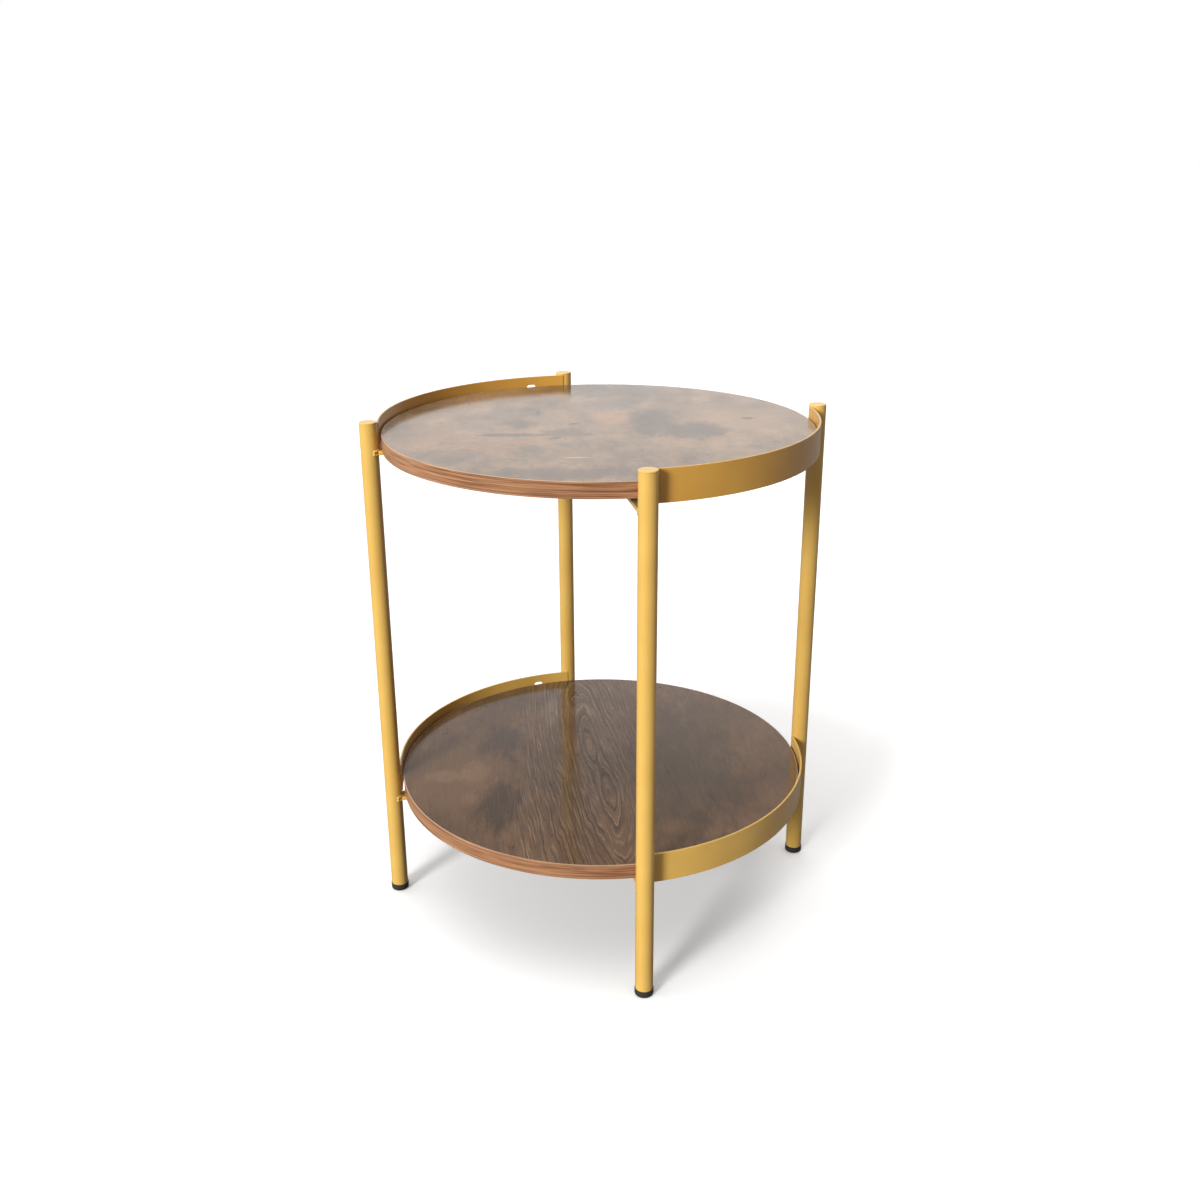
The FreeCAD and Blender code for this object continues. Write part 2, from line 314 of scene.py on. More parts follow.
def cut_out(name: str, base: Mesh, tool: Mesh) -> Mesh:
    """Mesh of one closed shape less another.

    Args:
        name: name of the result.
        base: shape that is cut.
        tool: shape that is taken away.

    Returns:
        What is left.
    """
    body = bpy.data.objects.new(f"{name}_stock", base)
    cutter = bpy.data.objects.new(f"{name}_cutter", tool)
    for thing in (body, cutter):
        bpy.context.collection.objects.link(thing)
    less = body.modifiers.new("cut", "BOOLEAN")
    less.operation = "DIFFERENCE"
    less.solver = "EXACT"
    less.object = cutter
    result = bpy.data.meshes.new_from_object(body.evaluated_get(bpy.context.evaluated_depsgraph_get()))
    result.name = name
    for thing in (body, cutter):
        bpy.data.objects.remove(thing)
    tidy_mesh(result)
    return result


def place_piece(mesh: Mesh, finish: Material, node: str) -> None:
    """Make the object for a mesh, dressed in a finish and in place of a CAD node.

    Args:
        mesh: shape, already in its place.
        finish: material of the whole piece.
        node: CAD node that it replaces.
    """
    piece = bpy.data.objects.new(mesh.name, mesh)
    bpy.context.collection.objects.link(piece)
    mesh.materials.clear()
    mesh.materials.append(finish)
    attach(piece, BODY)
    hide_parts(node)
    log.info("%s: %d faces", piece.name, len(mesh.polygons))


# Materials.


def linear(code: str) -> tuple[float, float, float, float]:
    """Linear colour of an sRGB hex code.

    Args:
        code: the code, such as #8A6A3C.

    Returns:
        Red, green and blue, with full alpha.
    """
    srgb = np.array([int(code[i:i + 2], 16) for i in (1, 3, 5)]) / 255
    light = np.where(srgb <= 0.04045, srgb / 12.92, ((srgb + 0.055) / 1.055) ** 2.4)
    return (*light.tolist(), 1.0)


def feed(node: Node, inputs: Inputs) -> None:
    """Set or link a node's inputs.

    Args:
        node: the node.
        inputs: for each input, by name or number, a value or the node or socket that it is linked to, and
            for a pair of inputs, a pair of these.
    """
    for key, value in inputs.items():
        if isinstance(key, tuple):
            feed(node, dict(zip(key, value)))
            continue
        named = [socket for socket in node.inputs if socket.enabled and socket.name == key]
        socket = named[0] if named else node.inputs[key]
        if isinstance(value, Node):
            value = next(output for output in value.outputs if output.enabled)
        if isinstance(value, NodeSocket):
            node.id_data.links.new(value, socket)
        else:
            socket.default_value = value


def add_node(
    tree: NodeTree, kind: str, inputs: Inputs | None = None,
    stops: dict[float, str] | None = None, **settings: Any,
) -> Node:
    """Add one node with its settings and links.

    Args:
        tree: node tree that takes it.
        kind: type of the node, without the word that starts every type's name.
        inputs: what each input takes, as feed has it.
        stops: hex colours of a colour ramp, by share of the way.
        **settings: properties of the node, set before its inputs.

    Returns:
        The new node.
    """
    node = tree.nodes.new(f"ShaderNode{kind}")
    for name, value in settings.items():
        setattr(node, name, value)
    if stops:
        ramp = node.color_ramp.elements
        while len(ramp) < len(stops):
            ramp.new(1.0)
        for element, (share, code) in zip(ramp, sorted(stops.items())):
            element.position = share
            element.color = linear(code)
    feed(node, inputs or {})
    return node


def new_material(name: str) -> tuple[Material, AddNode, Node]:
    """Material with nodes.

    Args:
        name: its name.

    Returns:
        The material, the function that adds a node to it, and its surface shader.
    """
    material = bpy.data.materials.new(name)
    material.use_nodes = True
    tree = material.node_tree
    return material, partial(add_node, tree), tree.nodes["Principled BSDF"]


@dataclass(frozen=True)
class PowderCoat:
    """Satin gold powder coat on steel: baked paint with fine metal flake under clear lacquer.

    The eye sees a broad soft highlight, a tone that drifts a little, and a slight orange peel.
    """

    name: str = "gold_powder_coat"
    colour: str = "#EABF62"
    worn_colour: str = "#E4B75B"
    metallic: float = 0.15
    roughness: float = 0.45
    gloss_drift: float = 0.03
    lacquer: float = 1.0
    lacquer_roughness: float = 0.3
    cloud_mm: float = 45.0
    peel_mm: float = 1.6
    peel_height_mm: float = 0.012
    peel_strength: float = 0.35

    def material(self) -> Material:
        """Paint whose tone and gloss drift over the length of a hand.

        Returns:
            The material.
        """
        material, add, shader = new_material(self.name)
        place = add("TexCoord").outputs["Object"]
        cloud = add("TexNoise", {"Vector": place, "Scale": PER_MM / self.cloud_mm, "Detail": 3.0})
        tone = add("ValToRGB", {"Fac": cloud}, stops={0.35: self.worn_colour, 0.65: self.colour})
        drift = (self.roughness + self.gloss_drift, self.roughness - self.gloss_drift)
        gloss = add("MapRange", {"Value": cloud, TO: drift})
        peel = add("TexNoise", {"Vector": place, "Scale": PER_MM / self.peel_mm, "Detail": 1.0})
        bump = add("Bump", {
            "Height": peel, "Strength": self.peel_strength, "Distance": self.peel_height_mm * MM,
        })
        feed(shader, {
            "Base Color": tone, "Roughness": gloss, "Normal": bump, "Metallic": self.metallic,
            "Coat Weight": self.lacquer, "Coat Roughness": self.lacquer_roughness, "Coat Normal": bump,
        })
        return material


@dataclass(frozen=True)
class MouldedPlastic:
    """Moulded polyethylene or nylon: dark and dull, with the grain of an etched mould.

    The real grain is finer than this. It is drawn as coarse as it needs to be to show.
    """

    name: str = "black_polyethylene"
    colour: str = "#2E2C2C"
    pale_colour: str = "#3B3837"
    roughness: float = 0.5
    grain_mm: float = 0.7
    grain_height_mm: float = 0.02
    grain_strength: float = 0.4

    def material(self) -> Material:
        """Dark plastic, a little paler on the grain's peaks.

        Returns:
            The material.
        """
        material, add, shader = new_material(self.name)
        place = add("TexCoord").outputs["Object"]
        grain = add("TexNoise", {"Vector": place, "Scale": PER_MM / self.grain_mm, "Detail": 2.0})
        tone = add("ValToRGB", {"Fac": grain}, stops={0.3: self.colour, 0.8: self.pale_colour})
        bump = add("Bump", {
            "Height": grain, "Strength": self.grain_strength, "Distance": self.grain_height_mm * MM,
        })
        feed(shader, {"Base Color": tone, "Roughness": self.roughness, "Normal": bump})
        return material


@dataclass(frozen=True)
class PlatedSteel:
    """Bright zinc plate on steel screws: grey metal with a mottled shine."""

    name: str = "zinc_plated_steel"
    colour: str = "#B9B6AE"
    dull_colour: str = "#97958E"
    roughness: float = 0.24
    dull_roughness: float = 0.42
    mottle_mm: float = 2.0

    def material(self) -> Material:
        """Metal with patches of duller plate.

        Returns:
            The material.
        """
        material, add, shader = new_material(self.name)
        place = add("TexCoord").outputs["Object"]
        mottle = add("TexNoise", {"Vector": place, "Scale": PER_MM / self.mottle_mm})
        tone = add("ValToRGB", {"Fac": mottle}, stops={0.3: self.dull_colour, 0.7: self.colour})
        gloss = add("MapRange", {"Value": mottle, TO: (self.dull_roughness, self.roughness)})
        feed(shader, {"Base Color": tone, "Roughness": gloss, "Metallic": 1.0})
        return material


@dataclass(frozen=True)
class EdgeBanding:
    """Printed melamine edging: satin, with reddish wood streaks.

    Where its rounded edges turn level it is paler: partly the bare core of the cut edge, partly a painted
    highlight.
    Sizes are in millimetres, round the table and upwards.
    """

    name: str = "printed_edge_banding"
    colour: str = "#A47755"
    pale_colour: str = "#BE916B"
    dark_colour: str = "#5C3624"
    # Pale colour of the level rounds: the bare core of the cut edge, and on top a painted highlight.
    core_and_highlight_colour: str = "#C9A98E"
    streak_size: Pair = (48.0, 0.8)
    line_size: Pair = (144.0, 1.6)
    line_range: Pair = (0.38, 0.48)
    line_share: float = 0.65
    core_and_highlight_slope: Pair = (0.35, 0.8)
    core_and_highlight_share: float = 0.6
    roughness: float = 0.36
    relief: float = 0.05
    relief_strength: float = 0.25

    def material(self) -> Material:
        """Streaks are long round the table and thin upwards.

        Where the edge turns level it is paler: partly the bare core of the cut edge, partly a painted
        highlight.

        Returns:
            The material.
        """
        material, add, shader = new_material(self.name)
        place = add("TexCoord").outputs["Object"]
        fine, coarse = (
            add("Mapping", {"Vector": place, "Scale": (PER_MM / length, PER_MM / length, PER_MM / width)})
            for length, width in (self.streak_size, self.line_size)
        )
        streaks = add("TexNoise", {"Vector": fine, "Scale": 1.0, "Detail": 4.0, "Roughness": 0.6})
        lines = add("TexNoise", {"Vector": coarse, "Scale": 1.0, "Detail": 3.0})
        colour = add("ValToRGB", {"Fac": streaks}, stops={
            0.28: self.dark_colour, 0.5: self.colour, 0.75: self.pale_colour,
        })
        dark = add("MapRange", {"Value": lines, FROM: self.line_range, TO: (self.line_share, 0.0)})
        # Paler where the normal turns level, on the top and bottom rounds: the bare core, and on top a
        # painted highlight.
        level = add("SeparateXYZ", {"Vector": add("NewGeometry").outputs["Normal"]}).outputs["Z"]
        slope = add("Math", {0: level}, operation="ABSOLUTE")
        core_and_highlight = add("MapRange", {"Value": slope, FROM: self.core_and_highlight_slope, TO: (0.0, self.core_and_highlight_share)})
        for share, code in ((dark, self.dark_colour), (core_and_highlight, self.core_and_highlight_colour)):
            colour = add("Mix", {"Factor": share, "A": colour, "B": linear(code)}, data_type="RGBA")
        bump = add("Bump", {
            "Height": streaks, "Strength": self.relief_strength, "Distance": self.relief * MM,
        })
        feed(shader, {"Base Color": colour, "Roughness": self.roughness, "Normal": bump})
        return material


@dataclass(frozen=True)
class Stain:
    """Patch of another tone in a print: a ragged ellipse, in millimetres along and across the grain."""

    colour: str
    along: float
    across: float
    half_along: float
    half_across: float
    share: float
    turn: float = 0.0


@dataclass(frozen=True)
class PrintedOak:
    """Melamine face printed as weathered oak, under a semi-gloss resin film.

    The print is warm and dark, and the pale haze on it is the film's reflection at a low angle. Lengths are
    in millimetres: along is the direction of the grain, across is square to it. Printed pores are narrower
    than these, which are drawn as wide as they need to be to show.
    """

    name: str
    grain_angle: float
    dark: str
    body: str
    pale: str
    stains: tuple[Stain, ...]
    figure_middle: float
    figure_half: float
    figure_share: float
    loops: tuple[Pair, ...]
    loop_turn: float = 7.0
    loop_shape: float = 0.15
    ring_width: float = 6.5
    outer_ring_width: float = 3.4
    faintest_ring: float = 0.2
    outer_distance: float = 80.0
    edge_wander: float = 26.0
    line_colour: str = "#2E2017"
    fibre_colour: str = "#A88B70"
    cloud_size: Pair = (120.0, 75.0)
    ragged_size: Pair = (34.0, 11.0)
    ragged_share: float = 0.45
    stain_wander: float = 2.0
    stain_fade: Pair = (1.4, 2.2)
    warp_size: Pair = (150.0, 26.0)
    warp_reach: float = 13.0
    scratch_size: Pair = (48.0, 13.0)
    scratch_line: Pair = (0.008, 0.026)
    scratch_spread: Pair = (30.0, 22.0)
    scratch_kept: Pair = (0.58, 0.68)
    scratch_share: float = 0.6
    fibre_size: Pair = (55.0, 1.5)
    fibre_range: Pair = (0.48, 0.75)
    fibre_share: float = 0.1
    figured_fibre_share: float = 0.5
    pore_size: Pair = (9.0, 0.8)
    pore_range: Pair = (0.36, 0.26)
    pore_share: float = 0.5
    roughness: float = 0.16
    gloss_drift: float = 0.04
    relief: float = 0.05
    relief_strength: float = 0.1
    ior: float = 1.66

    def material(self) -> Material:
        """Clouded ground, stains, fibres, arched rings, scratches and pores, laid on from coarse to fine.

        Returns:
            The material.
        """
        material, add, shader = new_material(self.name)
        place = add("Mapping", {
            "Vector": add("TexCoord").outputs["Object"],
            "Rotation": (0.0, 0.0, -np.radians(self.grain_angle)),
            "Scale": (PER_MM, PER_MM, PER_MM),
        })
        ragged = self.grains(add, place, self.ragged_size, detail=9.0, crispness=0.72)
        cloud = self.grains(add, place, self.cloud_size, detail=3.0)
        tone = add("Mix", {"Factor": self.ragged_share, "A": cloud, "B": ragged})
        colour = add("ValToRGB", {"Fac": tone}, stops={0.36: self.dark, 0.5: self.body, 0.64: self.pale})
        distance = self.ring_distance(add, place)
        along = add("SeparateXYZ", {"Vector": place}).outputs["X"]
        drawn = add("CombineXYZ", {"X": along, "Y": distance})
        fibre = self.grains(add, drawn, self.fibre_size, detail=4.0)
        band = self.figured_band(add, place, ragged)
        shares = {0: band, 1: self.figured_fibre_share, 2: self.fibre_share}
        most = add("Math", shares, operation="MULTIPLY_ADD")
        streaks = add("MapRange", {"Value": fibre, FROM: self.fibre_range, TO: (0.0, most)})
        rings = add("Math", {0: self.ring_lines(add, distance), 1: band}, operation="MULTIPLY")
        pore = self.grains(add, place, self.pore_size, detail=2.0)
        pores = add("MapRange", {"Value": pore, FROM: self.pore_range, TO: (0.0, self.pore_share)})
        layers = [(self.stain_share(add, place, ragged, stain), stain.colour) for stain in self.stains]
        layers.append((streaks, self.fibre_colour))
        layers += [(share, self.line_colour) for share in (rings, self.scratches(add, place), pores)]
        for share, code in layers:
            colour = add("Mix", {"Factor": share, "A": colour, "B": linear(code)}, data_type="RGBA")
        drift = (self.roughness + self.gloss_drift, self.roughness - self.gloss_drift)
        gloss = add("MapRange", {"Value": ragged, TO: drift})
        bump = add("Bump", {"Height": fibre, "Strength": self.relief_strength, "Distance": self.relief * MM})
        feed(shader, {"Base Color": colour, "Roughness": gloss, "Normal": bump, "IOR": self.ior})
        return material

    def grains(self, add: AddNode, place: Node, size: Pair, detail: float, crispness: float = 0.6) -> Node:
        """Noise whose coarsest grains have a size along and across the grain.

        Args:
            add: function that adds a node.
            place: node with the place in millimetres.
            size: length along and across the grain.
            detail: number of finer layers.
            crispness: weight of each layer against the coarser one before it.

        Returns:
            Node whose first output is the noise, about one half on average.
        """
        drawn = add("Mapping", {"Vector": place, "Scale": (1 / size[0], 1 / size[1], 1 / size[0])})
        return add("TexNoise", {"Vector": drawn, "Scale": 1.0, "Detail": detail, "Roughness": crispness})

    def away_from(self, add: AddNode, place: Node, middle: Pair, half: Pair, turn: float) -> NodeSocket:
        """Distance from the middle of a turned ellipse, counted in its half sizes.

        Args:
            add: function that adds a node.
            place: node with the place in millimetres.
            middle: middle of the ellipse, along and across the grain.
            half: its half sizes.
            turn: angle from the grain to its first size, in degrees.

        Returns:
            Socket with the distance.
        """
        spot = add("Mapping", {
            "Vector": place, "Location": (*middle, 0.0), "Rotation": (0.0, 0.0, np.radians(turn)),
            "Scale": (*half, FLAT),
        }, vector_type="TEXTURE")
        return add("VectorMath", {0: spot}, operation="LENGTH").outputs["Value"]

    def stain_share(self, add: AddNode, place: Node, ragged: Node, stain: Stain) -> Node:
        """Share of a stain: the distance from its middle in half sizes, moved by noise, fades it out.

        Args:
            add: function that adds a node.
            place: node with the place in millimetres.
            ragged: node with the noise that moves the edge.
            stain: the patch.

        Returns:
            Node whose output is the share.
        """
        middle, half = (stain.along, stain.across), (stain.half_along, stain.half_across)
        away = self.away_from(add, place, middle, half, stain.turn)
        edge = add("Math", {0: ragged, 1: self.stain_wander, 2: away}, operation="MULTIPLY_ADD")
        fade = {"Value": edge, FROM: self.stain_fade, TO: (stain.share, 0.0)}
        return add("MapRange", fade, interpolation_type="SMOOTHSTEP")

    def ring_distance(self, add: AddNode, place: Node) -> Node:
        """Distance from the nearest loop, which rings and fibres follow.

        The distance counts a loop's own long axis by loop_shape only, and noise makes it uneven.

        Args:
            add: function that adds a node.
            place: node with the place in millimetres.

        Returns:
            Node whose output is the distance in millimetres.
        """
        half = (1 / self.loop_shape, 1.0)
        distance, *others = (self.away_from(add, place, loop, half, self.loop_turn) for loop in self.loops)
        for other in others:
            distance = add("Math", {0: distance, 1: other, 2: 2 * self.ring_width}, operation="SMOOTH_MIN")
        warp = self.grains(add, place, self.warp_size, detail=4.0)
        return add("Math", {0: warp, 1: self.warp_reach, 2: distance}, operation="MULTIPLY_ADD")

    def ring_lines(self, add: AddNode, distance: Node) -> Node:
        """Darkness of the ring lines, from 0 to 1.

        The distance d is cut into rings: their number is d over the ring width plus a share of d squared, so
        that they are as narrow as outer_ring_width at outer_distance. Chance makes some rings fainter.

        Args:
            add: function that adds a node.
            distance: node with the distance from the nearest loop.

        Returns:
            Node whose output is the darkness.
        """
        growth = (1 / self.outer_ring_width - 1 / self.ring_width) / (2 * self.outer_distance)
        rate = add("Math", {0: distance, 1: growth, 2: 1 / self.ring_width}, operation="MULTIPLY_ADD")
        turns = add("Math", {0: distance, 1: rate}, operation="MULTIPLY")
        line = add("ValToRGB", {"Fac": add("Math", {0: turns}, operation="FRACT")}, stops=RING_STOPS)
        nearest = add("Math", {0: turns, 1: 0.5}, operation="ADD")
        number = add("Math", {0: nearest}, operation="FLOOR")
        chance = add("TexWhiteNoise", {"W": number}, noise_dimensions="1D")
        strength = add("MapRange", {"Value": chance, TO: (self.faintest_ring, 1.0)})
        return add("Math", {0: line, 1: strength}, operation="MULTIPLY")

    def scratches(self, add: AddNode, place: Node) -> Node:
        """Share of short bent scratches: thin contour lines of one noise, kept where another is high.

        Args:
            add: function that adds a node.
            place: node with the place in millimetres.

        Returns:
            Node whose output is the share.
        """
        contour = self.grains(add, place, self.scratch_size, detail=2.0)
        level = add("Math", {0: contour, 1: 0.5}, operation="SUBTRACT")
        aside = add("Math", {0: level}, operation="ABSOLUTE")
        line = add("MapRange", {"Value": aside, FROM: self.scratch_line, TO: (self.scratch_share, 0.0)})
        spread = self.grains(add, place, self.scratch_spread, detail=3.0)
        kept = add("MapRange", {"Value": spread, FROM: self.scratch_kept})
        return add("Math", {0: line, 1: kept}, operation="MULTIPLY")

    def figured_band(self, add: AddNode, place: Node, ragged: Node) -> Node:
        """Share of figure: even on a band along the grain, and gone a little beyond its ragged edges.

        Args:
            add: function that adds a node.
            place: node with the place in millimetres.
            ragged: node with the noise that moves the edge.

        Returns:
            Node whose output is the share.
        """
        across = add("SeparateXYZ", {"Vector": place}).outputs["Y"]
        off = add("Math", {0: across, 1: self.figure_middle}, operation="SUBTRACT")
        aside = add("Math", {0: off}, operation="ABSOLUTE")
        far = add("Math", {0: ragged, 1: self.edge_wander, 2: aside}, operation="MULTIPLY_ADD")
        edge = (self.figure_half, self.figure_half + self.edge_wander)
        return add("MapRange", {"Value": far, FROM: edge, TO: (self.figure_share, 0.0)})


# Sub-assemblies.


@dataclass
class Leg:
    """Tube leg with the cap in its top and the glide in its foot."""

    corner: Corner
    wall: float = 1.2 * MM
    lip: float = 0.35 * MM
    lip_steps: int = 5
    cap_round: float = 0.8 * MM
    cap_steps: int = 7
    plug_play: float = 0.1 * MM
    foot_round: float = 2.4 * MM
    foot_steps: int = 9
    segments: int = 96
    longest_run: float = 45 * MM

    def __post_init__(self) -> None:
        """Read the leg's place and sizes from the frame."""
        self.name = f"{self.corner.value}_leg"
        self.foot = f"{self.corner.value}_foot_glide"
        self.centre = leg_centre(self.corner)
        low, high = node_box(self.name)
        self.bottom, self.top = low[2], high[2]
        self.radius = node_radius(self.name)
        self.plug = self.radius - self.wall - self.plug_play

    def tube(self) -> Mesh:
        """Tube: the wall's rounded section turned about the leg's axis.

        Returns:
            The mesh.
        """
        section = rounded_rectangle(self.wall, self.top - self.bottom, self.lip)
        section = split_runs(section, self.longest_run)
        section += (self.radius - self.wall / 2, (self.bottom + self.top) / 2)
        return surface_mesh(f"{self.name}_tube", turned(section, self.centre, self.segments), wrap_rows=True)

    def cap(self) -> Mesh:
        """Flat cap with a rounded rim and a plug: its section turned about the leg's axis.

        Returns:
            The mesh.
        """
        low, high = node_box(f"{self.name}_cap")
        rim, crown = self.radius - self.cap_round, high[2]
        section = np.concatenate((
            ((0.0, crown), (rim / 2, crown), (rim - self.cap_round, crown)),
            arc((rim, crown - self.cap_round), self.cap_round, 90, 0, self.cap_steps),
            ((self.radius, self.top + self.lip),),
            arc((self.radius - self.lip, self.top + self.lip), self.lip, 0, -90, self.lip_steps),
            ((self.plug, self.top), (self.plug, low[2]), (0.0, low[2])),
        ))
        return surface_mesh(f"{self.name}_end_disc", turned(section, self.centre, self.segments))

    def glide(self) -> Mesh:
        """Plastic foot with a rounded tread edge and a stem: its section turned about the leg's axis.

        Returns:
            The mesh.
        """
        low, high = node_box(self.foot)
        radius = node_radius(self.foot)
        rim, tread, shoulder = radius - self.foot_round, low[2], self.bottom - self.lip
        section = np.concatenate((
            ((0.0, high[2]), (self.plug, high[2]), (self.plug, self.bottom)),
            arc((radius - self.lip, shoulder), self.lip, 90, 0, self.lip_steps),
            arc((rim, tread + self.foot_round), self.foot_round, 0, -90, self.foot_steps),
            ((rim / 2, tread), (0.0, tread)),
        ))
        return surface_mesh(f"{self.corner.value}_foot_pad", turned(section, self.centre, self.segments))

    def dress(self, gold: Material, plastic: Material) -> None:
        """Make the three pieces, each in place of its node.

        Args:
            gold: finish of the tube and the cap.
            plastic: finish of the glide.
        """
        place_piece(self.tube(), gold, self.name)
        place_piece(self.cap(), gold, f"{self.name}_cap")
        place_piece(self.glide(), plastic, self.foot)


@dataclass
class Board:
    """Round board and the edging round it."""

    tier: Tier
    strip_round: float = 0.6 * MM
    strip_steps: int = 6
    segments: int = 288
    face_rings: int = 12

    def __post_init__(self) -> None:
        """Read the board's place and sizes from the frame."""
        self.name = self.tier.value
        low, high = node_box(self.name)
        self.bottom, self.top = low[2], high[2]
        self.radius = node_radius(self.name)
        self.rim = node_radius(f"{self.name}_edge_strip")

    def face(self) -> Mesh:
        """Disc: a flat outline turned about the table's axis.

        Returns:
            The mesh.
        """
        radii = np.linspace(0.0, self.radius, self.face_rings + 1)
        section = np.concatenate((
            np.column_stack((radii, np.full_like(radii, self.top))),
            np.column_stack((radii[::-1], np.full_like(radii, self.bottom))),
        ))
        return surface_mesh(f"{self.name}_panel", turned(section, np.zeros(2), self.segments))

    def strip(self) -> Mesh:
        """Ring: the strip's section, rounded outside, turned about the table's axis.

        Returns:
            The mesh.
        """
        corner = self.rim - self.strip_round
        section = np.concatenate((
            ((self.radius, self.bottom),),
            arc((corner, self.bottom + self.strip_round), self.strip_round, -90, 0, self.strip_steps),
            ((self.rim, self.bottom + 2 * self.strip_round), (self.rim, self.top - 2 * self.strip_round)),
            arc((corner, self.top - self.strip_round), self.strip_round, 0, 90, self.strip_steps),
            ((self.radius, self.top),),
        ))
        grid = turned(section, np.zeros(2), self.segments)
        return surface_mesh(f"{self.name}_edging", grid, wrap_rows=True)

    def dress(self, face: Material, edge: Material) -> None:
        """Make both pieces, each in place of its node."""
        place_piece(self.face(), face, self.name)
        place_piece(self.strip(), edge, f"{self.name}_edge_strip")


@dataclass
class Band:
    """Bent flat strip between the two legs of one side, with a round-ended slot near the back leg."""

    tier: Tier
    side: Side
    thickness: float = 2.0 * MM
    edge_round: float = 0.45 * MM
    height_cuts: int = 4
    end_gap: float = 2.0 * MM
    slot_length: float = 11.0 * MM
    slot_height: float = 6.0 * MM
    slot_rise: float = 1.9 * MM
    slot_offset: float = 42.0 * MM
    slot_steps: int = 13
    steps: int = 129

    def __post_init__(self) -> None:
        """Read the band's place and sizes from the frame."""
        self.word = f"{self.tier.word}_{self.side.name.lower()}"
        self.name = f"{self.word}_band"
        low, high = node_box(self.name)
        self.outer = float(max(abs(low[0]), abs(high[0])))
        self.bottom, self.top = low[2], high[2]
        self.face = node_box(self.tier.value)[1][2]

    def build(self) -> Mesh:
        """Rounded flat section carried along the arc from leg to leg, less the slot.

        Returns:
            The mesh.
        """
        first, last = (leg_angle(corner) for corner in self.side.value)
        last += TURN if last < first else 0.0
        middle = self.outer - self.thickness / 2
        margin = self.end_gap / middle
        angles = np.linspace(first + margin, last - margin, self.steps)
        out = np.column_stack((np.cos(angles), np.sin(angles), np.zeros(self.steps)))
        height = self.top - self.bottom
        section = rounded_rectangle(self.thickness, height, self.edge_round)
        section = split_runs(section, height / self.height_cuts)
        path = middle * out + (self.bottom + self.top) / 2 * UP
        stock = surface_mesh(f"{self.name}_stock", carried(section, path, out, UP), ends=True)
        return cut_out(f"{self.word}_rim", stock, self.slot())

    def slot(self) -> Mesh:
        """Cutter: a round-ended outline carried straight out through the band.

        Returns:
            The mesh.
        """
        back = next(corner for corner in self.side.value if corner.value.startswith("back"))
        turn = -1.0 if self.side is Side.RIGHT else 1.0
        angle = leg_angle(back) + turn * self.slot_offset / self.outer
        out = np.array((np.cos(angle), np.sin(angle), 0.0))
        along = np.array((-np.sin(angle), np.cos(angle), 0.0))
        reach = np.array((self.outer - 2 * self.thickness, self.outer + self.thickness))
        radius = self.slot_height / 2
        half = self.slot_length / 2 - radius
        outline = np.concatenate((
            arc((half, 0.0), radius, -90, 90, self.slot_steps),
            arc((-half, 0.0), radius, 90, 270, self.slot_steps),
        ))
        path = reach[:, None] * out + (self.face + self.slot_rise - radius) * UP
        return surface_mesh(f"{self.name}_slot", carried(outline, path, along, UP), ends=True)

    def dress(self, gold: Material) -> None:
        """Make the band, in place of its node."""
        place_piece(self.build(), gold, self.name)


